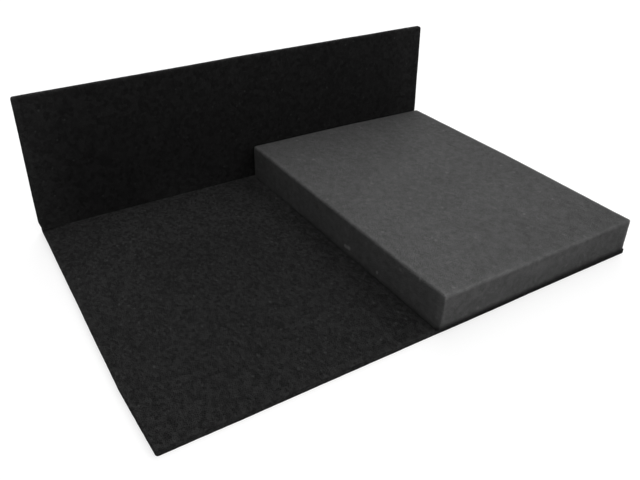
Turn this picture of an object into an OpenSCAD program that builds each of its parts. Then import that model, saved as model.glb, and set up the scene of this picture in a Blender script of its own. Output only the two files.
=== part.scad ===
// Foam insert for an equipment case, in three pieces of flat foam.
//
//   base_sheet  thin dense foam that lies flat and pads the floor of the case
//   back_panel  the same thin foam, stood upright on the base's rear margin
//   foam_block  thick open-cell foam, made for plucking, on the right-hand end
//
// Sizes are in millimetres. X runs along the long edge, Y from the open front
// to the panel and Z is up. The origin is in the middle of the underside.

/* [Base sheet] */
// Length of the base sheet, which the panel shares
base_w = 432; // [280:1:620]
// Depth of the base sheet, with the margin that the panel stands on
base_d = 305; // [160:1:460]
// Thickness of the base sheet
base_t = 5; // [3:0.5:12]
// Width of the sliver trimmed off the left edge at the front
trim_w = 3; // [0.5:0.5:12]
// Length of that sliver along the left edge
trim_l = 66; // [20:1:120]

/* [Back panel] */
// Height of the panel above the base sheet
panel_h = 127; // [60:1:260]
// Thickness of the panel
panel_t = 5; // [3:0.5:12]

/* [Foam block] */
// Width of the block along the underside
block_w = 215; // [120:1:260]
// Thickness of the block
block_t = 30; // [15:1:80]
// How far the left cut face leans in from the underside to the top
cut_lean = 3; // [0:0.5:8]
// Room between the back of the block and the panel
rear_gap = 0.5; // [0.3:0.1:5]

/* [Edges] */
// Radius of the corners of the thin sheets
sheet_corner_r = 2; // [0.5:0.5:8]
// Radius that the block's cut edges soften to
block_edge_r = 1.5; // [0.5:0.5:5]

/* [Hidden] */
// Flat steps in each rounded corner
ARC_STEPS = 5;
// The lean of a cut face that stands square to the sheet
SQUARE = 0;
// Corners of a rectangular outline
RECTANGLE_CORNERS = 4;

left_x = -base_w / 2;
right_x = base_w / 2;
front_y = -base_d / 2;
rear_y = base_d / 2;
panel_front_y = rear_y - panel_t;
block_rear_y = panel_front_y - rear_gap;
block_left_x = right_x - block_w;
block_top_z = base_t + block_t;

// Points of an arc of radius r that rounds the corner at p, between the
// neighbouring corners a and b of an outline drawn anticlockwise.
function corner_arc(a, p, b, r) =
    let (
        u = (a - p) / norm(a - p),
        v = (b - p) / norm(b - p),
        half_angle = acos(u * v) / 2,
        centre = p + (u + v) / norm(u + v) * r / sin(half_angle),
        spoke = p + u * r / tan(half_angle) - centre,
        start = atan2(spoke.y, spoke.x),
        turn = 180 - 2 * half_angle
    )
    [for (i = [0 : ARC_STEPS])
        centre + r * [cos(start + turn * i / ARC_STEPS), sin(start + turn * i / ARC_STEPS)]];

// A convex outline, drawn anticlockwise, whose corners are rounded to the
// radius of the same place in the list of radii. A radius of 0 stays sharp.
function softened(points, radii) =
    let (n = len(points))
    [for (i = [0 : n - 1])
        each radii[i] > 0
            ? corner_arc(points[(i + n - 1) % n], points[i], points[(i + 1) % n], radii[i])
            : [points[i]]];

// One radius for all the corners of a rectangle.
function all_round(r) = [for (i = [1 : RECTANGLE_CORNERS]) r];

// Corners of a rectangle, anticlockwise from its low corner. The first edge
// upward on the low side leans in by lean at the top.
function rectangle(low, high, lean) =
    [low, [high.x, low.y], high, [low.x + lean, high.y]];

// A slab of an outline in X and Y, between two heights.
module slab_xy(points, z0, z1) {
    translate([0, 0, z0]) linear_extrude(z1 - z0) polygon(points);
}

// A slab of an outline in X and Z, between two depths.
module slab_xz(points, y0, y1) {
    translate([0, y1, 0]) rotate([90, 0, 0]) linear_extrude(y1 - y0) polygon(points);
}

// A slab of an outline in Y and Z, between two places along the length.
module slab_yz(points, x0, x1) {
    translate([x0, 0, 0]) rotate([90, 0, 90]) linear_extrude(x1 - x0) polygon(points);
}

// The flat sheet, with a sliver trimmed off its front left corner. Its rear
// corners are square, where the ends of the panel stand flush with them.
module base_sheet() {
    outline = [
        [left_x + trim_w, front_y],
        [right_x, front_y],
        [right_x, rear_y],
        [left_x, rear_y],
        [left_x, front_y + trim_l]
    ];
    radii = [sheet_corner_r, sheet_corner_r, 0, 0, sheet_corner_r];
    color([0.13, 0.13, 0.13])
        slab_xy(softened(outline, radii), 0, base_t);
}

// The upright sheet. Only its two upper corners are rounded, because its
// bottom edge is bonded to the base along its whole length.
module back_panel() {
    outline = rectangle([left_x, base_t], [right_x, base_t + panel_h], SQUARE);
    radii = [0, 0, sheet_corner_r, sheet_corner_r];
    color([0.08, 0.08, 0.08])
        slab_xz(softened(outline, radii), panel_front_y, rear_y);
}

// The thick block. Its plan, front and end outlines are softened one by one,
// and what they share is a block with every cut edge eased.
module foam_block() {
    plan = rectangle([block_left_x, front_y], [right_x, block_rear_y], SQUARE);
    front = rectangle([block_left_x, base_t], [right_x, block_top_z], cut_lean);
    end = rectangle([front_y, base_t], [block_rear_y, block_top_z], SQUARE);
    eased = all_round(block_edge_r);
    color([0.31, 0.31, 0.31])
        intersection() {
            slab_xy(softened(plan, eased), base_t, block_top_z);
            slab_xz(softened(front, eased), front_y, block_rear_y);
            slab_yz(softened(end, eased), block_left_x, right_x);
        }
}

base_sheet();
back_panel();
foam_block();
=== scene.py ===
"""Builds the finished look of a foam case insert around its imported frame.

Three pieces of foam make the insert: a thin base sheet, a thin panel that
stands on the sheet's rear margin and a thick open-cell block that lies on the
right-hand half. All sizes are in metres. X runs along the long edge, Y from
the open front to the panel and Z is up.
"""

import logging
import math
from collections.abc import Callable, Iterator
from contextlib import contextmanager
from dataclasses import dataclass, field
from enum import Enum
from functools import partial

import bmesh
import bpy
from bpy.types import Material, Node, NodeOutputs, NodeSocket, Object, ShaderNodeTree
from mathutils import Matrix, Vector


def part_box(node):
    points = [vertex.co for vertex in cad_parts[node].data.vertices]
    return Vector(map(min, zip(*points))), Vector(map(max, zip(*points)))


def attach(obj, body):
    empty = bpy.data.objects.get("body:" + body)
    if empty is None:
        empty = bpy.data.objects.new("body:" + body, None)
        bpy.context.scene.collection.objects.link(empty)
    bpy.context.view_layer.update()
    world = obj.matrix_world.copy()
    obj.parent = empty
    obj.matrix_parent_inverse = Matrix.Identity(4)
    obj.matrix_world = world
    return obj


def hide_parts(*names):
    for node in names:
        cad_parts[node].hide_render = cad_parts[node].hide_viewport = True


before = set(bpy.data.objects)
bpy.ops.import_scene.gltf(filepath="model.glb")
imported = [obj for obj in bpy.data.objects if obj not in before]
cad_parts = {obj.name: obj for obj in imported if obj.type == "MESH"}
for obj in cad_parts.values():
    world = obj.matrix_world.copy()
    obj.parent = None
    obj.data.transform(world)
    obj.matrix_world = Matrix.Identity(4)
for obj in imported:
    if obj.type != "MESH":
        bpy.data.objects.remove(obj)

PointTest = Callable[[Vector], bool]
EdgeTest = Callable[[Vector, Vector], bool]
Shares = tuple[float, float]
Source = NodeSocket | float | tuple[float, ...]

LOG = logging.getLogger("foam_insert")
ROOT_BODY = "root"
MM = 0.001
TINY = 0.05 * MM
FLOOR_LEVEL = 0.0
FLAT = (1.0, 1.0, 0.0)
WHITE = (1.0, 1.0, 1.0, 1.0)

# Shares of the way across or along a face.
NEAR, HALF, FAR = 0.0, 0.5, 1.0


class Axis(Enum):
    """The three axes of the frame, as indices into a point."""

    X = 0
    Y = 1
    Z = 2

    def unit(self) -> Vector:
        """The unit vector along the axis."""
        return Vector([float(axis is self) for axis in Axis])

    def follows(self, start: Vector, end: Vector, share: float = 0.9) -> bool:
        """Whether an edge runs along the axis, for at least this share of its length."""
        return abs((start - end).normalized()[self.value]) > share


class Corner(Enum):
    """The eight corners of a box: left or right, front or rear, under or top."""

    LEFT_FRONT_UNDER = (0, 0, 0)
    LEFT_FRONT_TOP = (0, 0, 1)
    LEFT_REAR_UNDER = (0, 1, 0)
    LEFT_REAR_TOP = (0, 1, 1)
    RIGHT_FRONT_UNDER = (1, 0, 0)
    RIGHT_FRONT_TOP = (1, 0, 1)
    RIGHT_REAR_UNDER = (1, 1, 0)
    RIGHT_REAR_TOP = (1, 1, 1)

    def of(self, low: Vector, high: Vector) -> Vector:
        """The corner's place on the box from low to high."""
        ends = (low, high)
        return Vector([ends[end][axis] for axis, end in enumerate(self.value)])


class Face(Enum):
    """The faces that carry marks, each by its start, its two ends and its far corner."""

    FRONT = (
        Corner.LEFT_FRONT_UNDER, Corner.RIGHT_FRONT_UNDER,
        Corner.LEFT_FRONT_TOP, Corner.RIGHT_FRONT_TOP,
    )
    LEFT = (
        Corner.LEFT_FRONT_UNDER, Corner.LEFT_REAR_UNDER,
        Corner.LEFT_FRONT_TOP, Corner.LEFT_REAR_TOP,
    )
    TOP = (
        Corner.LEFT_FRONT_TOP, Corner.RIGHT_FRONT_TOP,
        Corner.LEFT_REAR_TOP, Corner.RIGHT_REAR_TOP,
    )


FacePlace = Callable[[Face, float, float], Vector]


def deselect_all() -> None:
    """Leaves nothing selected and nothing active."""
    bpy.ops.object.select_all(action="DESELECT")
    bpy.context.view_layer.objects.active = None


def is_near(place: Vector, reach: float, point: Vector) -> bool:
    """Whether a point is within reach of a place."""
    return (point - place).length < reach


def joins(start: Vector, end: Vector, first: Vector, second: Vector) -> bool:
    """Tells whether an edge joins two places, either way round.

    Args:
        start: One of the places.
        end: The other place.
        first: One end of the edge.
        second: Its other end.

    Returns:
        Whether it does.
    """
    same_way = (first - start).length + (second - end).length
    other_way = (first - end).length + (second - start).length
    return min(same_way, other_way) < TINY


def is_below(level: float, point: Vector) -> bool:
    """Whether a point lies below a level."""
    return point.z < level


@dataclass(frozen=True)
class Relief:
    """A random unevenness of a foam surface.

    Attributes:
        name: A plain word for it.
        wavelength: About how far its bumps are apart.
        height: From the deepest to the highest, for the whole pattern.
        octaves: How much finer detail rides on the bumps.
        level: The value of the pattern, from 0 to 1, that leaves the surface as cut.
    """

    name: str
    wavelength: float
    height: float
    octaves: int = 1
    level: float = 0.5


WAVES = Relief("waves", 60 * MM, 0.5 * MM)
CRUMBS = Relief("crumbs", 3 * MM, 0.25 * MM, octaves=2)


class Workpiece:
    """A block of foam on the bench, shaped step by step with Blender's own operators.

    Attributes:
        object: The block, at the origin, with its place in its mesh.
    """

    def __init__(self, name: str, low: Vector, high: Vector) -> None:
        """Adds a plain block between two corners.

        Args:
            name: The new object's name.
            low: The lowest corner.
            high: The highest corner.
        """
        deselect_all()
        bpy.ops.mesh.primitive_cube_add(size=1.0, location=(low + high) / 2, scale=high - low)
        self.object = bpy.context.active_object
        self.object.name = name
        self.object.data.name = name
        bpy.ops.object.transform_apply(location=True, rotation=True, scale=True)

    def pick(self) -> None:
        """Makes the piece the only one that is selected, and active."""
        deselect_all()
        self.object.select_set(True)
        bpy.context.view_layer.objects.active = self.object

    @contextmanager
    def edited(self) -> Iterator[None]:
        """Holds the piece in edit mode while the block under it runs."""
        self.pick()
        bpy.ops.object.mode_set(mode="EDIT")
        yield
        bpy.ops.object.mode_set(mode="OBJECT")

    def select_points(self, wanted: PointTest) -> bool:
        """Selects the points that pass a test of place, in edit mode.

        Args:
            wanted: Says whether the point at a place is selected.

        Returns:
            Whether any point was selected.
        """
        shape = bmesh.from_edit_mesh(self.object.data)
        shape.select_mode = {"VERT"}
        for point in shape.verts:
            point.select_set(wanted(point.co))
        shape.select_flush_mode()
        bmesh.update_edit_mesh(self.object.data)
        return any(point.select for point in shape.verts)

    def select_edges(self, wanted: EdgeTest) -> None:
        """Selects the edges whose two ends pass a test, in edit mode.

        Args:
            wanted: Says whether the edge between two places is selected.
        """
        shape = bmesh.from_edit_mesh(self.object.data)
        bpy.context.tool_settings.mesh_select_mode = (False, True, False)
        for element in (*shape.verts, *shape.edges, *shape.faces):
            element.select = False
        for edge in shape.edges:
            if wanted(*(end.co for end in edge.verts)):
                edge.select_set(True)
        bmesh.update_edit_mesh(self.object.data)

    def push_points(self, wanted: PointTest, move: Vector) -> None:
        """Moves the points that pass a test of place.

        Args:
            wanted: Says whether the point at a place is moved.
            move: How far they go.
        """
        with self.edited():
            if self.select_points(wanted):
                bpy.ops.transform.translate(value=move)

    def flatten_below(self, level: float) -> None:
        """Lifts whatever sank below a level back onto it."""
        with self.edited():
            if self.select_points(partial(is_below, level)):
                bpy.ops.transform.resize(value=FLAT, center_override=(0.0, 0.0, level))

    def cut(self, place: Vector, outward: Vector, trim: bool = True) -> None:
        """Cuts the piece along a plane.

        Args:
            place: A point on the plane.
            outward: The plane's normal.
            trim: Whether what lies beyond the plane goes, and the cut is closed.
        """
        with self.edited():
            bpy.ops.mesh.select_all(action="SELECT")
            bpy.ops.mesh.bisect(plane_co=place, plane_no=outward, use_fill=trim, clear_outer=trim)

    def slice(self, axis: Axis, place: float) -> None:
        """Cuts the faces at a place along an axis, and keeps both sides."""
        self.cut(axis.unit() * place, axis.unit(), trim=False)

    def score(self, low: Vector, high: Vector, pitch: float) -> None:
        """Slices the piece at even steps along each axis, so that it can bend between them.

        Args:
            low: The piece's lowest corner.
            high: Its highest corner.
            pitch: About how far apart the cuts are.
        """
        for axis in Axis:
            start, end = low[axis.value], high[axis.value]
            steps = round((end - start) / pitch)
            for step in range(1, steps):
                self.slice(axis, start + (end - start) * step / steps)

    def round_edges(self, wanted: EdgeTest, radius: float, segments: int) -> None:
        """Bevels the edges that pass a test.

        Args:
            wanted: Says whether the edge between two places is rounded.
            radius: How far the bevel reaches from the edge.
            segments: How many strips the bevel is made of.
        """
        with self.edited():
            self.select_edges(wanted)
            bpy.ops.mesh.bevel(offset=radius, segments=segments, affect="EDGES", clamp_overlap=True)

    def weigh_edges(self, wanted: EdgeTest, weight: float) -> None:
        """Says how far edges will be rounded by round_weighed.

        Args:
            wanted: Says whether the edge between two places is meant.
            weight: Its radius, as a share of the widest one.
        """
        with self.edited():
            self.select_edges(wanted)
            bpy.ops.transform.edge_bevelweight(value=weight)

    def modify(self, kind: str, **settings: object) -> None:
        """Adds a modifier and applies it.

        Args:
            kind: Blender's name of the modifier type.
            **settings: Properties of the modifier.
        """
        self.pick()
        modifier = self.object.modifiers.new(kind, kind)
        for name, value in settings.items():
            setattr(modifier, name, value)
        bpy.ops.object.modifier_apply(modifier=modifier.name)

    def round_weighed(self, widest: float, segments: int) -> None:
        """Rounds every edge by its own weight, so that unequal edges meet cleanly.

        Args:
            widest: The radius that stands for a weight of one.
            segments: How many strips each bevel is made of.
        """
        self.modify("BEVEL", limit_method="WEIGHT", width=widest, segments=segments)

    def refine(self, levels: int) -> None:
        """Splits every face into four, as many times as levels says."""
        self.modify("SUBSURF", subdivision_type="SIMPLE", levels=levels, render_levels=levels)

    def roughen(self, relief: Relief) -> None:
        """Moves the surface in and out by a soft random pattern.

        Args:
            relief: The size and the height of the pattern.
        """
        texture = bpy.data.textures.new(f"{self.object.name}_{relief.name}", "CLOUDS")
        texture.noise_scale = relief.wavelength
        texture.noise_depth = relief.octaves
        self.modify(
            "DISPLACE", texture=texture, texture_coords="LOCAL", direction="NORMAL",
            strength=relief.height, mid_level=relief.level,
        )
        bpy.data.textures.remove(texture)

    def smooth(self, angle_deg: float) -> None:
        """Shades the piece smooth, but for edges that bend more than the angle."""
        self.pick()
        bpy.ops.object.shade_smooth_by_angle(angle=math.radians(angle_deg))


class Wiring:
    """Makes and joins shader nodes in one node tree.

    Attributes:
        NOISE_ROUGHNESS: How strong a finer layer of noise is against the one above it.
        tree: The node tree that the nodes go into.
    """

    NOISE_ROUGHNESS = 0.55

    def __init__(self, tree: ShaderNodeTree) -> None:
        """Starts with an empty tree.

        Args:
            tree: The tree to fill.
        """
        self.tree = tree
        tree.nodes.clear()

    def node(self, kind: str, **settings: object) -> Node:
        """Adds a node and sets its own properties.

        Args:
            kind: Blender's name of the node type.
            **settings: Properties of the node.

        Returns:
            The new node.
        """
        made = self.tree.nodes.new(kind)
        for name, value in settings.items():
            setattr(made, name, value)
        return made

    def feed(self, socket: NodeSocket, source: Source) -> None:
        """Joins a socket to another one, or sets it to a plain value.

        Args:
            socket: The input socket.
            source: An output socket, a number or a vector.
        """
        if isinstance(source, NodeSocket):
            self.tree.links.new(source, socket)
        else:
            socket.default_value = source

    def feed_all(self, made: Node, values: tuple[Source, ...]) -> Node:
        """Feeds a node's inputs in their order, and gives the node back."""
        for socket, value in zip(made.inputs, values):
            self.feed(socket, value)
        return made

    def math(self, operation: str, *values: Source, clamp: bool = False) -> NodeSocket:
        """Adds a Math node.

        Args:
            operation: The operation, as Blender names it.
            *values: Its inputs, each a socket or a number.
            clamp: Whether the result is held between 0 and 1.

        Returns:
            The output socket.
        """
        made = self.node("ShaderNodeMath", operation=operation, use_clamp=clamp)
        return self.feed_all(made, values).outputs[0]

    def vector(self, operation: str, *values: Source, output: str = "Vector") -> NodeSocket:
        """Adds a Vector Math node.

        Args:
            operation: The operation, as Blender names it.
            *values: Its inputs, each a socket or a vector; a number goes for all three axes.
            output: Which of its outputs is wanted.

        Returns:
            The output socket.
        """
        made = self.node("ShaderNodeVectorMath", operation=operation)
        return self.feed_all(made, values).outputs[output]

    def ramp(
        self, value: Source, low: Source, high: Source, out_low: Source, out_high: Source
    ) -> NodeSocket:
        """Maps a range smoothly onto another.

        Args:
            value: What is mapped.
            low: Where the range starts.
            high: Where it ends.
            out_low: What low becomes.
            out_high: What high becomes.

        Returns:
            The output socket.
        """
        made = self.node("ShaderNodeMapRange", interpolation_type="SMOOTHSTEP")
        for name, source in (
            ("Value", value), ("From Min", low), ("From Max", high),
            ("To Min", out_low), ("To Max", out_high),
        ):
            self.feed(made.inputs[name], source)
        return made.outputs["Result"]

    def noise(self, place: Source, size: Source, detail: float) -> NodeSocket:
        """Adds a soft random pattern between 0 and 1.

        Args:
            place: Where the pattern is read.
            size: The size of its blotches.
            detail: How many finer layers it has.

        Returns:
            The output socket.
        """
        made = self.node("ShaderNodeTexNoise", noise_dimensions="3D")
        self.feed(made.inputs["Vector"], place)
        self.feed(made.inputs["Scale"], self.math("DIVIDE", 1.0, size))
        made.inputs["Detail"].default_value = detail
        made.inputs["Roughness"].default_value = self.NOISE_ROUGHNESS
        return made.outputs["Fac"]

    def cells(self, place: Source, size: Source, feature: str) -> Node:
        """Adds a pattern of packed cells.

        Args:
            place: Where the pattern is read.
            size: The size of a cell.
            feature: What it measures, as Blender names it.

        Returns:
            The node.
        """
        made = self.node("ShaderNodeTexVoronoi", feature=feature, voronoi_dimensions="3D")
        self.feed(made.inputs["Vector"], place)
        self.feed(made.inputs["Scale"], self.math("DIVIDE", 1.0, size))
        return made

    def luck(self, cells: Node) -> Node:
        """Splits the random colour of each cell into three random numbers.

        Args:
            cells: A pattern of packed cells.

        Returns:
            The node whose three outputs are the numbers.
        """
        made = self.node("ShaderNodeSeparateColor")
        self.feed(made.inputs[0], cells.outputs["Color"])
        return made


class SharedNodes:
    """A node group that is built once and then shared.

    Attributes:
        NAME: The group's name.
        INPUTS: Its input sockets, each by name and kind.
        OUTPUTS: Its output sockets, which all give a number.
    """

    NAME: str
    INPUTS: tuple[tuple[str, str], ...]
    OUTPUTS: tuple[str, ...]

    @classmethod
    def placed(cls, wires: Wiring) -> Node:
        """Places the group in a tree, and builds it the first time.

        Args:
            wires: The tree's wiring.

        Returns:
            The node that stands for the group.
        """
        if cls.NAME not in bpy.data.node_groups:
            tree = bpy.data.node_groups.new(cls.NAME, "ShaderNodeTree")
            for name, kind in cls.INPUTS:
                tree.interface.new_socket(name, in_out="INPUT", socket_type=f"NodeSocket{kind}")
            for name in cls.OUTPUTS:
                tree.interface.new_socket(name, in_out="OUTPUT", socket_type="NodeSocketFloat")
            cls._fill(Wiring(tree))
        return wires.node("ShaderNodeGroup", node_tree=bpy.data.node_groups[cls.NAME])

    @classmethod
    def _fill(cls, wires: Wiring) -> None:
        """Wires the group's own nodes; each group says how."""
        raise NotImplementedError


class FoamSurface(SharedNodes):
    """The shared look of cut foam: open pores, grain, clumps, patches and flecks; the flecks are
    painted glints.

    Each material places it with its own values, and reads a tone to multiply
    its colour by, and a height for its bumps.

    Attributes:
        PORE_WALL: From where to where a wall fades into its pore, in pore sizes.
        PORE_CENTRE: About the mean of the pore pattern, where the tone stays as it is.
        RANDOM_CENTRE: The same for the other patterns.
        GRAIN_DETAIL: How many finer layers the grain has.
        PATCH_DETAIL: The same for the patches.
        FLECK_REACH: From where to where a fleck fades, in fleck sizes.
        DARKEST_TONE: The least that the tone can be.
        GRAIN_RELIEF: How high the grain stands, when a pore's wall is one.
    """

    NAME = "Foam Surface"
    INPUTS = (
        ("Cell Stretch", "Vector"),
        ("Pore Size", "Float"), ("Pore Contrast", "Float"),
        ("Grain Size", "Float"), ("Grain Contrast", "Float"),
        ("Clump Size", "Float"), ("Clump Contrast", "Float"),
        ("Patch Size", "Float"), ("Patch Contrast", "Float"),
        ("Fleck Size", "Float"), ("Fleck Share", "Float"), ("Fleck Gain", "Float"),
    )
    OUTPUTS = ("Tone", "Height")
    PORE_WALL = (0.02, 0.26)
    PORE_CENTRE = 0.45
    RANDOM_CENTRE = 0.5
    GRAIN_DETAIL = 2.0
    PATCH_DETAIL = 1.0
    FLECK_REACH = (0.10, 0.45)
    DARKEST_TONE = 0.05
    GRAIN_RELIEF = 0.8

    @classmethod
    def _fill(cls, wires: Wiring) -> None:
        """Wires the pores, the grain, the clumps, the patches and the flecks.

        Args:
            wires: The group's wiring.
        """
        given = wires.node("NodeGroupInput").outputs
        result = wires.node("NodeGroupOutput").inputs
        place = wires.node("ShaderNodeTexCoord").outputs["Object"]
        place = wires.vector("DIVIDE", place, given["Cell Stretch"])

        edges = wires.cells(place, given["Pore Size"], "DISTANCE_TO_EDGE").outputs["Distance"]
        wall = wires.ramp(edges, *cls.PORE_WALL, 1.0, 0.0)
        grain = wires.noise(place, given["Grain Size"], cls.GRAIN_DETAIL)
        clump = wires.luck(wires.cells(place, given["Clump Size"], "F1")).outputs[0]
        patch = wires.noise(place, given["Patch Size"], cls.PATCH_DETAIL)

        tone = wires.math("ADD", 1.0, cls._swing(wires, wall, cls.PORE_CENTRE, given["Pore Contrast"]))
        for pattern, contrast in (
            (grain, given["Grain Contrast"]),
            (clump, given["Clump Contrast"]),
            (patch, given["Patch Contrast"]),
        ):
            swing = cls._swing(wires, pattern, cls.RANDOM_CENTRE, contrast)
            tone = wires.math("ADD", tone, swing)
        # Painted glints: bright flecks added to the colour.
        tone = wires.math("ADD", tone, cls._flecks(wires, place, given))
        wires.feed(result["Tone"], wires.math("MAXIMUM", tone, cls.DARKEST_TONE))
        relief = wires.math("MULTIPLY", grain, cls.GRAIN_RELIEF)
        wires.feed(result["Height"], wires.math("ADD", wall, relief))

    @staticmethod
    def _swing(wires: Wiring, value: NodeSocket, centre: float, contrast: NodeSocket) -> NodeSocket:
        """A pattern's swing about its centre, times its contrast."""
        return wires.math("MULTIPLY", wires.math("SUBTRACT", value, centre), contrast)

    @classmethod
    def _flecks(cls, wires: Wiring, place: NodeSocket, given: NodeOutputs) -> NodeSocket:
        """Adds single bright flecks, painted glints off cell walls, each of its own brightness.

        Args:
            wires: The group's wiring.
            place: Where the pattern is read.
            given: The group's inputs.

        Returns:
            How much the flecks add to the tone.
        """
        flecks = wires.cells(place, given["Fleck Size"], "F1")
        luck = wires.luck(flecks)
        rare = wires.math("LESS_THAN", luck.outputs[0], given["Fleck Share"])
        near = wires.ramp(flecks.outputs["Distance"], *cls.FLECK_REACH, 1.0, 0.0)
        spark = wires.math("MULTIPLY", wires.math("MULTIPLY", rare, near), luck.outputs[1])
        return wires.math("MULTIPLY", spark, given["Fleck Gain"])


class Ruler(SharedNodes):
    """Measures how near a place is to a line, as a mask that fades with the distance.

    Attributes:
        CORE: The share of the width where the mask is still full.
    """

    NAME = "Foam Mark"
    INPUTS = (("Start", "Vector"), ("End", "Vector"), ("Width", "Float"))
    OUTPUTS = ("Mask",)
    CORE = 0.1

    @classmethod
    def _fill(cls, wires: Wiring) -> None:
        """Wires the distance to the nearest point of the line, over its width.

        Args:
            wires: The group's wiring.
        """
        given = wires.node("NodeGroupInput").outputs
        place = wires.node("ShaderNodeTexCoord").outputs["Object"]
        line = wires.vector("SUBTRACT", given["End"], given["Start"])
        reach = wires.vector("SUBTRACT", place, given["Start"])
        along = wires.math(
            "DIVIDE",
            wires.vector("DOT_PRODUCT", reach, line, output="Value"),
            wires.vector("DOT_PRODUCT", line, line, output="Value"),
            clamp=True,
        )
        nearest = wires.vector("MULTIPLY", line, along)
        gap = wires.vector("DISTANCE", reach, nearest, output="Value")
        gap = wires.math("DIVIDE", gap, given["Width"])
        mask = wires.ramp(gap, cls.CORE, 1.0, 1.0, 0.0)
        wires.feed(wires.node("NodeGroupOutput").inputs["Mask"], mask)


@dataclass(frozen=True)
class FoamMark:
    """A mark on a foam face: a painted highlight along a rim, painted light or shade, a streak or a
    bit of lint.

    Attributes:
        face: The face that it lies on.
        start: Where it starts, as its share of the way across and along the face.
        end: Where it ends.
        width: How far it reaches to each side.
        gain: How much lighter it is than the foam; less than zero is darker.
    """

    face: Face
    start: Shares
    end: Shares
    width: float
    gain: float

    @classmethod
    def dot(cls, face: Face, place: Shares, width: float, gain: float) -> "FoamMark":
        """Makes a round mark, which starts and ends at one place."""
        return cls(face, place, place, width, gain)

    def lift(self, wires: Wiring, spot: FacePlace) -> NodeSocket:
        """Adds the mark's nodes to a material.

        Args:
            wires: The material's wiring.
            spot: Finds a place on a face of the piece.

        Returns:
            What the tone is multiplied by at each place.
        """
        ruler = Ruler.placed(wires)
        ruler.inputs["Start"].default_value = spot(self.face, *self.start)
        ruler.inputs["End"].default_value = spot(self.face, *self.end)
        ruler.inputs["Width"].default_value = self.width
        return wires.math("ADD", 1.0, wires.math("MULTIPLY", ruler.outputs["Mask"], self.gain))


@dataclass(frozen=True)
class FoamFinish:
    """The finish of one kind of foam.

    Attributes:
        name: The material's name.
        shade: How light the foam is, as a linear grey.
        pore_size: The size of a cut pore.
        pore_contrast: How dark the pores are against their walls.
        grain_size: The size of the soft grain.
        grain_contrast: How much the grain's lights and darks differ.
        clump_size: The size of the single clumps.
        clump_contrast: How much one clump differs from the next.
        patch_size: The size of the broad patches.
        patch_contrast: How much the patches differ.
        fleck_size: How far apart bright flecks, which are painted glints, can be.
        fleck_share: The share of those places that has a fleck.
        fleck_gain: How much brighter the brightest fleck is.
        bump_depth: How deep the pores look.
        roughness: The surface roughness.
        specular: How glossy the pore walls are.
        cell_stretch: How far the cells are drawn out along each axis.
        marks: The marks on its faces.
    """

    name: str
    shade: float
    pore_size: float
    pore_contrast: float
    grain_size: float
    grain_contrast: float
    clump_size: float
    clump_contrast: float
    patch_size: float
    patch_contrast: float
    fleck_size: float
    fleck_share: float
    fleck_gain: float
    bump_depth: float
    roughness: float = 0.95
    specular: float = 0.04
    cell_stretch: tuple[float, float, float] = (1.0, 1.0, 1.0)
    marks: tuple[FoamMark, ...] = ()

    def material(self, spot: FacePlace) -> Material:
        """Builds the finish as a material.

        Args:
            spot: Finds a place on a face of the piece that wears it.

        Returns:
            The new material.
        """
        made = bpy.data.materials.new(self.name)
        made.use_nodes = True
        wires = Wiring(made.node_tree)
        surface = FoamSurface.placed(wires)
        for socket, _ in FoamSurface.INPUTS:
            surface.inputs[socket].default_value = getattr(self, socket.lower().replace(" ", "_"))
        tone = surface.outputs["Tone"]
        for mark in self.marks:
            tone = wires.math("MULTIPLY", tone, mark.lift(wires, spot))
        bump = wires.node("ShaderNodeBump")
        bump.inputs["Distance"].default_value = self.bump_depth
        wires.feed(bump.inputs["Height"], surface.outputs["Height"])
        shader = wires.node("ShaderNodeBsdfPrincipled")
        wires.feed(shader.inputs["Base Color"], wires.vector("MULTIPLY", (self.shade,) * 3, tone))
        wires.feed(shader.inputs["Normal"], bump.outputs["Normal"])
        shader.inputs["Roughness"].default_value = self.roughness
        shader.inputs["Specular IOR Level"].default_value = self.specular
        wires.feed(wires.node("ShaderNodeOutputMaterial").inputs["Surface"], shader.outputs[0])
        return made


SHEET_MARKS = (
    # Painted light and shade: paler in front of the panel and beside the block, a little darker in the
    # middle of the open half.
    FoamMark(Face.TOP, (0.25, 0.98), (0.50, 0.98), 125 * MM, 0.21),
    FoamMark(Face.TOP, (0.20, 0.15), (0.27, 0.50), 90 * MM, -0.08),
    FoamMark(Face.TOP, (0.03, 0.60), (0.10, 0.80), 60 * MM, 0.13),
    FoamMark(Face.TOP, (0.44, 0.50), (0.44, 0.75), 32 * MM, 0.13),
    # Painted highlights along the rims: the trimmed sliver, the left edge and the front; painted shade
    # on the front under the block.
    FoamMark(Face.TOP, (0.005, 0.00), (0.00, 0.22), 4.0 * MM, 0.30),
    FoamMark(Face.TOP, (0.00, 0.22), (0.00, 0.97), 4.0 * MM, 0.30),
    FoamMark(Face.FRONT, (0.00, 0.50), (0.49, 0.50), 4.5 * MM, 0.35),
    FoamMark(Face.FRONT, (0.60, 0.50), (1.00, 0.50), 4.5 * MM, -0.20),
    # Painted light on the strip beside the block, and painted shade at the panel's left foot.
    FoamMark(Face.TOP, (0.50, 0.70), (0.50, 0.98), 5.0 * MM, 0.25),
    FoamMark(Face.TOP, (0.50, 0.00), (0.50, 0.98), 13.0 * MM, 0.30),
    FoamMark(Face.TOP, (0.00, 0.975), (0.04, 0.985), 4.5 * MM, -0.60),
)
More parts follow.
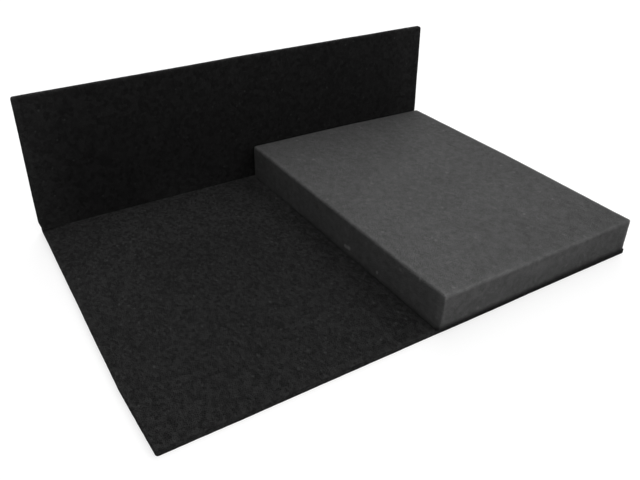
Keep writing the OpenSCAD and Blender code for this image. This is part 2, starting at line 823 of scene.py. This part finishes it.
PANEL_MARKS = (
    # Painted light: paler towards its two sides and its top.
    FoamMark(Face.FRONT, (0.0, 0.0), (0.0, 1.0), 48.0 * MM, 0.42),
    FoamMark(Face.FRONT, (1.0, 0.0), (1.0, 1.0), 55.0 * MM, 0.40),
    FoamMark(Face.FRONT, (0.0, 1.0), (1.0, 1.0), 40.0 * MM, 0.14),
    # Painted highlights along the rims.
    FoamMark(Face.FRONT, (0.0, 0.0), (0.0, 1.0), 9.0 * MM, 0.30),
    FoamMark(Face.FRONT, (1.0, 0.2), (1.0, 1.0), 4.0 * MM, 0.35),
    FoamMark(Face.FRONT, (0.0, 1.0), (1.0, 1.0), 3.0 * MM, 0.30),
    # Painted shade: darker in its lower half, but for the strip along its foot, which has painted
    # light.
    FoamMark(Face.FRONT, (0.15, 0.24), (1.0, 0.24), 75.0 * MM, -0.21),
    FoamMark(Face.FRONT, (0.30, 0.0), (0.55, 0.0), 45.0 * MM, 0.30),
)
BLOCK_RIM_HIGHLIGHTS = (
    # Painted highlights along its rims.
    FoamMark(Face.TOP, (0.0, 0.0), (1.0, 0.0), 3.6 * MM, 0.28),
    FoamMark(Face.TOP, (1.0, 0.0), (1.0, 1.0), 5.0 * MM, 0.50),
    FoamMark(Face.TOP, (0.0, 0.0), (0.0, 1.0), 8.0 * MM, 0.06),
    FoamMark(Face.FRONT, (1.0, 0.15), (1.0, 0.80), 6.3 * MM, 1.05),
    FoamMark(Face.LEFT, (0.01, 0.45), (0.01, 1.0), 6.0 * MM, 0.30),
)
BLOCK_SHADES = (
    # The top: painted shade, darker towards its right and rear and at its front right corner, and
    # painted light on a patch at its front left.
    FoamMark(Face.TOP, (1.0, 0.0), (1.0, 1.0), 70.0 * MM, -0.08),
    FoamMark(Face.TOP, (0.0, 1.0), (1.0, 1.0), 90.0 * MM, -0.09),
    FoamMark(Face.TOP, (0.62, 0.05), (1.0, 0.05), 45.0 * MM, -0.09),
    FoamMark(Face.TOP, (0.10, 0.10), (0.30, 0.55), 60.0 * MM, 0.05),
    # The front: painted shade in a dark line along its foot, and its fade; painted light along its
    # upper part.
    FoamMark(Face.FRONT, (0.0, 0.0), (1.0, 0.0), 6.5 * MM, -0.80),
    FoamMark(Face.FRONT, (0.60, 0.0), (0.97, 0.0), 12.0 * MM, -0.28),
    FoamMark(Face.FRONT, (0.0, 0.0), (1.0, 0.0), 22.0 * MM, -0.08),
    FoamMark(Face.FRONT, (0.05, 0.80), (1.0, 0.80), 14.0 * MM, 0.07),
    FoamMark(Face.FRONT, (0.45, 0.80), (1.0, 0.80), 14.0 * MM, 0.06),
    # The left side: painted light at its front and along its top, painted shade along its foot.
    FoamMark(Face.LEFT, (0.0, 0.30), (0.0, 1.0), 20.0 * MM, 0.06),
    FoamMark(Face.LEFT, (0.1, 0.70), (0.45, 0.70), 14.0 * MM, 0.06),
    FoamMark(Face.LEFT, (0.0, 0.0), (1.0, 0.0), 12.0 * MM, -0.08),
    FoamMark(Face.LEFT, (0.0, 0.0), (0.65, 0.0), 5.0 * MM, -0.32),
)
BLOCK_LINT = (
    FoamMark.dot(Face.TOP, (0.175, 0.805), 2.8 * MM, 0.65),
    FoamMark(Face.TOP, (0.175, 0.80), (0.175, 0.76), 1.6 * MM, 0.14),
    FoamMark.dot(Face.TOP, (0.655, 0.185), 1.8 * MM, 0.80),
    FoamMark.dot(Face.TOP, (0.07, 0.315), 1.8 * MM, 0.55),
    FoamMark.dot(Face.TOP, (0.73, 0.375), 1.8 * MM, 0.50),
    FoamMark.dot(Face.TOP, (0.41, 0.47), 2.4 * MM, 0.30),
    FoamMark.dot(Face.TOP, (0.41, 0.40), 2.0 * MM, 0.25),
    FoamMark(Face.LEFT, (0.415, 0.215), (0.395, 0.245), 2.8 * MM, 1.30),
    FoamMark.dot(Face.LEFT, (0.26, 0.215), 2.2 * MM, 1.20),
)
BLOCK_STREAKS = (
    FoamMark(Face.TOP, (0.84, 0.68), (0.855, 0.61), 1.8 * MM, -0.26),
    FoamMark(Face.TOP, (0.64, 0.59), (0.665, 0.475), 2.2 * MM, 0.12),
    FoamMark(Face.TOP, (0.49, 0.665), (0.50, 0.48), 2.2 * MM, 0.10),
)
BLACK_SHEET = FoamFinish(
    name="black_sheet_foam", shade=0.0151, cell_stretch=(1.0, 1.6, 1.0),
    pore_size=1.0 * MM, pore_contrast=0.5, grain_size=2.6 * MM, grain_contrast=0.3,
    clump_size=2.1 * MM, clump_contrast=0.78, patch_size=70 * MM, patch_contrast=0.12,
    fleck_size=3.0 * MM, fleck_share=0.18, fleck_gain=1.1,
    bump_depth=0.30 * MM, marks=SHEET_MARKS,
)
# Painted shade: the panel is the sheet's foam, and its darker shade stands for the shade on its front
# face.
BLACK_PANEL = FoamFinish(
    name="black_panel_foam", shade=0.0080,
    pore_size=0.9 * MM, pore_contrast=0.6, grain_size=3.6 * MM, grain_contrast=0.9,
    clump_size=3.6 * MM, clump_contrast=0.65, patch_size=80 * MM, patch_contrast=0.15,
    fleck_size=3.2 * MM, fleck_share=0.10, fleck_gain=1.6,
    bump_depth=0.20 * MM, marks=PANEL_MARKS,
)
GREY_BLOCK = FoamFinish(
    name="grey_block_foam", shade=0.079, cell_stretch=(1.0, 1.3, 1.0),
    pore_size=0.8 * MM, pore_contrast=0.4, grain_size=4.6 * MM, grain_contrast=0.5,
    clump_size=3.8 * MM, clump_contrast=0.17, patch_size=50 * MM, patch_contrast=0.14,
    fleck_size=4.4 * MM, fleck_share=0.10, fleck_gain=0.5,
    bump_depth=0.30 * MM, marks=(*BLOCK_RIM_HIGHLIGHTS, *BLOCK_SHADES, *BLOCK_LINT, *BLOCK_STREAKS),
)


@dataclass(frozen=True)
class Shift:
    """How far some corners of a cut piece are out of place.

    Attributes:
        corners: The corners that go together.
        x: How far they go to the right.
        y: How far they go to the rear.
        z: How far they go up.
    """

    corners: tuple[Corner, ...]
    x: float = 0.0
    y: float = 0.0
    z: float = 0.0


@dataclass
class FoamPiece:
    """One piece of the insert, shaped like its CAD node and finished as foam.

    Attributes:
        node: The CAD node that it stands for.
        slot: The record's material slot; not used.
        finish: What its surface looks like.
        shifts: How far its corners are out of place.
        pitch: How far apart its first cuts are.
        levels: How often each face is split after that.
        reliefs: The unevenness of its surface.
        smooth_deg: The sharpest bend that is shaded round, in degrees.
        fill: How full it is; cut foam is full to its faces. Not used.
        low: The lowest corner of the CAD node.
        high: The highest corner of the CAD node.
    """

    node: str
    slot: str
    finish: FoamFinish
    shifts: tuple[Shift, ...] = ()
    pitch: float = 20.0 * MM
    levels: int = 3
    reliefs: tuple[Relief, ...] = (WAVES, CRUMBS)
    smooth_deg: float = 50.0
    fill: float = 1.0
    low: Vector = field(init=False)
    high: Vector = field(init=False)

    def __post_init__(self) -> None:
        """Reads the piece's place from the frame."""
        self.low, self.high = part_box(self.node)

    @property
    def middle(self) -> Vector:
        """The middle of the CAD node's box."""
        return (self.low + self.high) / 2

    def corner(self, corner: Corner) -> Vector:
        """Finds a corner of the piece as it is really cut.

        Args:
            corner: Which corner.

        Returns:
            Its place.
        """
        place = corner.of(self.low, self.high)
        for shift in self.shifts:
            if corner in shift.corners:
                place += Vector((shift.x, shift.y, shift.z))
        return place

    def spot(self, face: Face, across: float, along: float) -> Vector:
        """Finds a place on a face of the piece.

        Args:
            face: Which face.
            across: The share of the way along its first side.
            along: The share of the way along its second side.

        Returns:
            The place.
        """
        start, across_end, along_end, far = (self.corner(corner) for corner in face.value)
        return start.lerp(across_end, across).lerp(along_end.lerp(far, across), along)

    def rough_cut(self, name: str) -> Workpiece:
        """Cuts a plain box, with each corner where it really is.

        Args:
            name: The piece's name.

        Returns:
            The box.
        """
        piece = Workpiece(name, self.low, self.high)
        for corner in Corner:
            place = corner.of(self.low, self.high)
            piece.push_points(partial(is_near, place, TINY), self.corner(corner) - place)
        return piece

    def cut(self) -> Workpiece:
        """Cuts the piece's plain form; each kind of piece says how."""
        raise NotImplementedError

    def build(self) -> Object:
        """Makes the finished piece and ties it to the frame.

        Returns:
            The piece.
        """
        piece = self.cut()
        piece.score(self.low, self.high, self.pitch)
        piece.refine(self.levels)
        for relief in self.reliefs:
            piece.roughen(relief)
        piece.flatten_below(FLOOR_LEVEL)
        piece.smooth(self.smooth_deg)
        made = piece.object
        made.data.materials.clear()
        made.data.materials.append(self.finish.material(self.spot))
        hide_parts(self.node)
        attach(made, ROOT_BODY)
        return made


@dataclass
class ThinSheet(FoamPiece):
    """A thin sheet with two rounded corners and soft rims.

    Attributes:
        corner_radius: The radius of its rounded corners.
        corner_segments: How many strips such a corner is made of.
        rim_radius: How soft its cut rims are.
        rim_segments: How many strips a rim is made of.
    """

    corner_radius: float = 2.0 * MM
    corner_segments: int = 4
    rim_radius: float = 0.6 * MM
    rim_segments: int = 2

    def soften(self, piece: Workpiece) -> None:
        """Rounds the sheet's corners and then its rims."""
        piece.round_edges(self.is_corner, self.corner_radius, self.corner_segments)
        piece.round_edges(self.is_rim, self.rim_radius, self.rim_segments)

    def is_corner(self, start: Vector, end: Vector) -> bool:
        """Whether an edge is a rounded corner; each sheet says which."""
        raise NotImplementedError

    def is_rim(self, start: Vector, end: Vector) -> bool:
        """Whether an edge is a soft rim; each sheet says which."""
        raise NotImplementedError


@dataclass
class BaseSheet(ThinSheet):
    """The thin sheet that lies flat.

    Attributes:
        sliver_width: How much is trimmed off the left edge at the front.
        sliver_length: How far back that trim reaches.
    """

    shifts: tuple[Shift, ...] = (
        Shift((Corner.RIGHT_FRONT_UNDER, Corner.RIGHT_FRONT_TOP), y=0.5 * MM),
    )
    sliver_width: float = 3.0 * MM
    sliver_length: float = 66.0 * MM

    def cut(self) -> Workpiece:
        """Cuts the sheet, trims its front left corner and softens its rims.

        Returns:
            The sheet.
        """
        piece = self.rough_cut("foam_base_sheet")
        start = self.corner(Corner.LEFT_FRONT_UNDER) + Vector((self.sliver_width, 0.0, 0.0))
        outward = Vector((-self.sliver_length, -self.sliver_width, 0.0)).normalized()
        piece.cut(start, outward)
        self.soften(piece)
        return piece

    def is_corner(self, start: Vector, end: Vector) -> bool:
        """Whether an edge is an upright corner at the front."""
        front = self.corner(Corner.LEFT_FRONT_UNDER).y
        return Axis.Z.follows(start, end) and start.y < front + TINY

    def is_rim(self, start: Vector, end: Vector) -> bool:
        """Whether an edge runs round the top or the underside."""
        return abs(start.z - end.z) < TINY


@dataclass
class BackPanel(ThinSheet):
    """The thin sheet that stands on the base's rear margin.

    Attributes:
        nick_width: Where the nick at its left foot starts, from the base's edge.
        nick_height: How high that nick reaches.
        nick_slant: How far it leans out over that height.
        crown: How much the middle of its upper edge stands proud.
    """

    shifts: tuple[Shift, ...] = (
        Shift((Corner.LEFT_FRONT_UNDER, Corner.LEFT_REAR_UNDER), x=-1.6 * MM),
        Shift((Corner.LEFT_FRONT_TOP, Corner.LEFT_REAR_TOP), x=1.9 * MM, z=-0.9 * MM),
        Shift((Corner.RIGHT_FRONT_TOP, Corner.RIGHT_REAR_TOP), x=-0.6 * MM, z=1.2 * MM),
    )
    nick_width: float = 0.2 * MM
    nick_height: float = 10.0 * MM
    nick_slant: float = 2.4 * MM
    crown: float = 0.8 * MM
    corner_radius: float = 2.2 * MM

    def cut(self) -> Workpiece:
        """Cuts the panel a little out of square, and softens its rims.

        Returns:
            The panel.
        """
        piece = self.rough_cut("foam_back_panel")
        piece.slice(Axis.X, self.middle.x)
        piece.push_points(self._crest, Vector((0, 0, self.crown)))
        nick = Vector((self.low.x + self.nick_width, self.low.y, self.low.z))
        outward = Vector((-self.nick_height, 0, -self.nick_slant)).normalized()
        piece.cut(nick, outward)
        self.soften(piece)
        return piece

    def _crest(self, point: Vector) -> bool:
        """Whether a point is in the middle of the upper edge."""
        return abs(point.x - self.middle.x) < TINY and point.z > self.middle.z

    def is_corner(self, start: Vector, end: Vector) -> bool:
        """Whether an edge crosses the sheet at an upper corner."""
        at_side = abs(start.x - self.middle.x) > TINY
        return Axis.Y.follows(start, end) and start.z > self.middle.z and at_side

    def is_rim(self, start: Vector, end: Vector) -> bool:
        """Finds the edges round the front and the rear face.

        Args:
            start: One end of an edge.
            end: Its other end.

        Returns:
            Whether it is one of them, and neither the bonded foot nor the middle cut.
        """
        flat = abs(start.y - end.y) < TINY
        bonded = max(start.z, end.z) < self.low.z + TINY
        inner = max(abs(start.x - self.middle.x), abs(end.x - self.middle.x)) < TINY
        return flat and not bonded and not inner


@dataclass
class FoamBlock(FoamPiece):
    """The thick block of open-cell foam, cut a little out of true.

    Attributes:
        front_top_radius: How far its upper front edge is softened.
        rear_top_radius: The same for its upper rear edge.
        left_top_radius: The same for its upper left edge.
        right_top_radius: The same for its upper right edge.
        left_upright_radius: The same for its left upright edge at the front.
        right_upright_radius: The same for its right upright edge at the front.
        rear_upright_radius: The same for those at the rear, the widest of all.
        front_foot_radius: The same for the edge along its front foot.
        foot_radius: The same for its other edges that lie on the sheet.
        segments: How many strips each softened edge is made of.
        tuck: How far its front left upright is drawn in.
        tuck_height: How far above its underside that is.
        lift: How far its front left corner curls up.
        lift_reach: How far from the corner that starts.
        front_sag: How far the middle of its upper front edge hangs.
        rear_crown: How far the middle of its upper rear edge rises.
        right_crown: How far the middle of its upper right edge rises.
        reach: How near to such a place a point of an edge counts as on it.
    """

    shifts: tuple[Shift, ...] = (
        Shift((Corner.LEFT_FRONT_UNDER,), x=1.1 * MM, y=-2.6 * MM),
        Shift((Corner.LEFT_FRONT_TOP,), x=3.7 * MM, y=-2.5 * MM, z=0.7 * MM),
        Shift((Corner.LEFT_REAR_UNDER,), x=0.2 * MM),
        Shift((Corner.LEFT_REAR_TOP,), x=1.2 * MM, z=3.8 * MM),
        Shift((Corner.RIGHT_FRONT_UNDER,), x=-4.2 * MM, y=-1.7 * MM),
        Shift((Corner.RIGHT_FRONT_TOP,), x=-1.4 * MM, y=-0.2 * MM),
        Shift((Corner.RIGHT_REAR_TOP,), x=2.3 * MM, z=1.0 * MM),
    )
    pitch: float = 18.0 * MM
    front_top_radius: float = 2.0 * MM
    rear_top_radius: float = 2.0 * MM
    left_top_radius: float = 2.2 * MM
    right_top_radius: float = 1.5 * MM
    left_upright_radius: float = 1.2 * MM
    right_upright_radius: float = 2.6 * MM
    rear_upright_radius: float = 3.0 * MM
    front_foot_radius: float = 2.4 * MM
    foot_radius: float = 0.8 * MM
    segments: int = 4
    tuck: float = 1.2 * MM
    tuck_height: float = 18.0 * MM
    lift: float = 1.5 * MM
    lift_reach: float = 20.0 * MM
    front_sag: float = 0.8 * MM
    rear_crown: float = 0.9 * MM
    right_crown: float = 1.1 * MM
    reach: float = 3.0 * MM

    def cut(self) -> Workpiece:
        """Cuts the block, lets its edges wander and softens them.

        Returns:
            The block.
        """
        piece = self.rough_cut("foam_pluck_block")
        for (first, second), radius in self._edge_radii().items():
            edge = partial(joins, self.corner(first), self.corner(second))
            piece.weigh_edges(edge, radius / self.rear_upright_radius)
        self._wander(piece)
        piece.round_weighed(self.rear_upright_radius, self.segments)
        return piece

    def _edge_radii(self) -> dict[tuple[Corner, Corner], float]:
        """Lists how far each edge is softened.

        Returns:
            The radius of each edge, by the two corners that it joins.
        """
        return {
            (Corner.LEFT_FRONT_TOP, Corner.RIGHT_FRONT_TOP): self.front_top_radius,
            (Corner.LEFT_REAR_TOP, Corner.RIGHT_REAR_TOP): self.rear_top_radius,
            (Corner.LEFT_FRONT_TOP, Corner.LEFT_REAR_TOP): self.left_top_radius,
            (Corner.RIGHT_FRONT_TOP, Corner.RIGHT_REAR_TOP): self.right_top_radius,
            (Corner.LEFT_FRONT_UNDER, Corner.LEFT_FRONT_TOP): self.left_upright_radius,
            (Corner.RIGHT_FRONT_UNDER, Corner.RIGHT_FRONT_TOP): self.right_upright_radius,
            (Corner.LEFT_REAR_UNDER, Corner.LEFT_REAR_TOP): self.rear_upright_radius,
            (Corner.RIGHT_REAR_UNDER, Corner.RIGHT_REAR_TOP): self.rear_upright_radius,
            (Corner.LEFT_FRONT_UNDER, Corner.RIGHT_FRONT_UNDER): self.front_foot_radius,
            (Corner.LEFT_REAR_UNDER, Corner.RIGHT_REAR_UNDER): self.foot_radius,
            (Corner.LEFT_FRONT_UNDER, Corner.LEFT_REAR_UNDER): self.foot_radius,
            (Corner.RIGHT_FRONT_UNDER, Corner.RIGHT_REAR_UNDER): self.foot_radius,
        }

    def _wander(self, piece: Workpiece) -> None:
        """Lets single points of the edges hang, rise or draw in.

        Args:
            piece: The block, still with sharp edges.
        """
        for axis, place in (
            (Axis.Z, self.low.z + self.tuck_height),
            (Axis.X, self.low.x + self.lift_reach),
            (Axis.Y, self.low.y + self.lift_reach),
            (Axis.X, self.middle.x),
            (Axis.Y, self.middle.y),
        ):
            piece.slice(axis, place)
        tucked = self.tuck_height / (self.high.z - self.low.z)
        for place, move in (
            (self.spot(Face.LEFT, NEAR, tucked), Vector((self.tuck, 0, 0))),
            (self.spot(Face.TOP, NEAR, NEAR), Vector((0, 0, self.lift))),
            (self.spot(Face.TOP, HALF, NEAR), Vector((0, 0, -self.front_sag))),
            (self.spot(Face.TOP, HALF, FAR), Vector((0, 0, self.rear_crown))),
            (self.spot(Face.TOP, FAR, HALF), Vector((0, 0, self.right_crown))),
        ):
            piece.push_points(partial(is_near, place, self.reach), move)


def direction(azimuth_deg: float, elevation_deg: float) -> Vector:
    """Points from the insert towards a camera or a lamp.

    Args:
        azimuth_deg: How far to the right of straight ahead it stands, in degrees.
        elevation_deg: How far above the floor it stands, in degrees.

    Returns:
        The unit vector.
    """
    turn, tilt = math.radians(azimuth_deg), math.radians(elevation_deg)
    flat = math.cos(tilt)
    return Vector((math.sin(turn) * flat, -math.cos(turn) * flat, math.sin(tilt)))


@dataclass(frozen=True)
class SoftLamp:
    """A wide, far lamp.

    Attributes:
        name: The lamp's name.
        azimuth_deg: How far to the right of straight ahead it stands, in degrees.
        elevation_deg: How far above the floor it stands, in degrees.
        spread_deg: How wide it looks from the insert, in degrees.
        strength: How strongly it shines.
    """

    name: str
    azimuth_deg: float
    elevation_deg: float
    spread_deg: float
    strength: float

    def hang(self) -> None:
        """Hangs the lamp."""
        data = bpy.data.lights.new(self.name, "SUN")
        data.energy = self.strength
        data.angle = math.radians(self.spread_deg)
        made = bpy.data.objects.new(self.name, data)
        made.rotation_mode = "QUATERNION"
        towards = direction(self.azimuth_deg, self.elevation_deg)
        made.rotation_quaternion = towards.to_track_quat("Z", "Y")
        bpy.context.scene.collection.objects.link(made)


@dataclass
class Studio:
    """The floor, the light and the camera.

    Attributes:
        floor_size: The length of each side of the floor.
        floor_shade: How light the floor is to the things that stand on it.
        seen_shade: How light it is to the camera, under the insert's shadow.
        glow_share: The share of its own white in what the camera sees.
        glow_strength: How strong that white is.
        camera_place: Where the camera stands.
        camera_azimuth: The way it looks, in degrees from straight ahead.
        camera_elevation: How far it looks down, in degrees.
        camera_lens_mm: Its focal length.
        camera_sensor_mm: The width of its sensor.
        camera_near: The nearest that it sees.
        sky_light: How strongly the whole room lights the insert.
        backdrop_light: How bright the room looks behind the insert; one is white.
        lamps: The lamps that do the rest.
    """

    floor_size: float = 12.0
    floor_shade: float = 0.35
    seen_shade: float = 0.9
    glow_share: float = 0.60
    glow_strength: float = 1.15
    camera_place: tuple[float, float, float] = (-0.26625, -0.42895, 0.31967)
    camera_azimuth: float = -31.296
    camera_elevation: float = 32.113
    camera_lens_mm: float = 36.929
    camera_sensor_mm: float = 36.0
    camera_near: float = 0.01
    sky_light: float = 0.152
    backdrop_light: float = 1.0
    lamps: tuple[SoftLamp, ...] = (
        SoftLamp("right_window", 58.5, 50.0, 120.0, 2.95),
        SoftLamp("rear_window", 148.5, 20.0, 50.0, 1.62),
        SoftLamp("front_fill", -9.0, 20.0, 50.0, 0.33),
        SoftLamp("left_fill", -75.0, 25.0, 50.0, 0.07),
    )

    @staticmethod
    def _seen(wires: Wiring) -> NodeSocket:
        """One where a ray comes from the camera or a reflection, and else nought."""
        rays = wires.node("ShaderNodeLightPath").outputs
        return wires.math("MAXIMUM", rays["Is Camera Ray"], rays["Is Glossy Ray"])

    @staticmethod
    def _white(wires: Wiring, strength: float) -> NodeSocket:
        """Adds a white background.

        Args:
            wires: The world's wiring.
            strength: How strongly it shines.

        Returns:
            Its shader socket.
        """
        made = wires.node("ShaderNodeBackground")
        made.inputs["Color"].default_value = WHITE
        made.inputs["Strength"].default_value = strength
        return made.outputs[0]

    def floor(self) -> None:
        """Lays a pale floor that keeps the insert's shadow."""
        deselect_all()
        bpy.ops.mesh.primitive_plane_add(size=self.floor_size, location=(0.0, 0.0, FLOOR_LEVEL))
        floor = bpy.context.active_object
        floor.name = "studio_floor"
        made = bpy.data.materials.new("studio_floor")
        made.use_nodes = True
        wires = Wiring(made.node_tree)
        seen = self._seen(wires)
        lit = wires.node("ShaderNodeBsdfDiffuse")
        shade = wires.ramp(seen, 0.0, 1.0, self.floor_shade, self.seen_shade)
        wires.feed(lit.inputs["Color"], shade)
        glow = wires.node("ShaderNodeEmission")
        glow.inputs["Strength"].default_value = self.glow_strength
        mix = wires.node("ShaderNodeMixShader")
        share = wires.math("MULTIPLY", seen, self.glow_share)
        wires.feed_all(mix, (share, lit.outputs[0], glow.outputs[0]))
        wires.feed(wires.node("ShaderNodeOutputMaterial").inputs["Surface"], mix.outputs[0])
        floor.data.materials.append(made)

    def sky(self) -> None:
        """Fills the room with soft light, behind a white backdrop."""
        world = bpy.data.worlds.new("studio_sky")
        bpy.context.scene.world = world
        world.use_nodes = True
        wires = Wiring(world.node_tree)
        mix = wires.node("ShaderNodeMixShader")
        light = self._white(wires, self.sky_light)
        backdrop = self._white(wires, self.backdrop_light)
        wires.feed_all(mix, (self._seen(wires), light, backdrop))
        wires.feed(wires.node("ShaderNodeOutputWorld").inputs["Surface"], mix.outputs[0])

    def camera(self) -> None:
        """Sets up the camera."""
        data = bpy.data.cameras.new("studio_camera")
        data.sensor_width = self.camera_sensor_mm
        data.lens = self.camera_lens_mm
        data.clip_start = self.camera_near
        camera = bpy.data.objects.new("studio_camera", data)
        back = direction(self.camera_azimuth, self.camera_elevation)
        camera.rotation_mode = "QUATERNION"
        camera.rotation_quaternion = back.to_track_quat("Z", "Y")
        camera.location = self.camera_place
        bpy.context.scene.collection.objects.link(camera)
        bpy.context.scene.camera = camera

    def build(self) -> None:
        """Sets up the whole studio."""
        bpy.context.scene.view_settings.view_transform = "Standard"
        self.camera()
        self.floor()
        self.sky()
        for lamp in self.lamps:
            lamp.hang()


def main() -> None:
    """Builds the studio and every piece, and logs how many faces each has."""
    logging.basicConfig(level=logging.INFO, format="%(name)s: %(message)s")
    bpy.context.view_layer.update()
    Studio().build()
    for piece in (
        BaseSheet("base_sheet", "base_foam", BLACK_SHEET),
        BackPanel("back_panel", "panel_foam", BLACK_PANEL),
        FoamBlock("foam_block", "block_foam", GREY_BLOCK),
    ):
        made = piece.build()
        LOG.info("%s: %d faces for %s", made.name, len(made.data.polygons), piece.node)


if __name__ == "__main__":
    main()
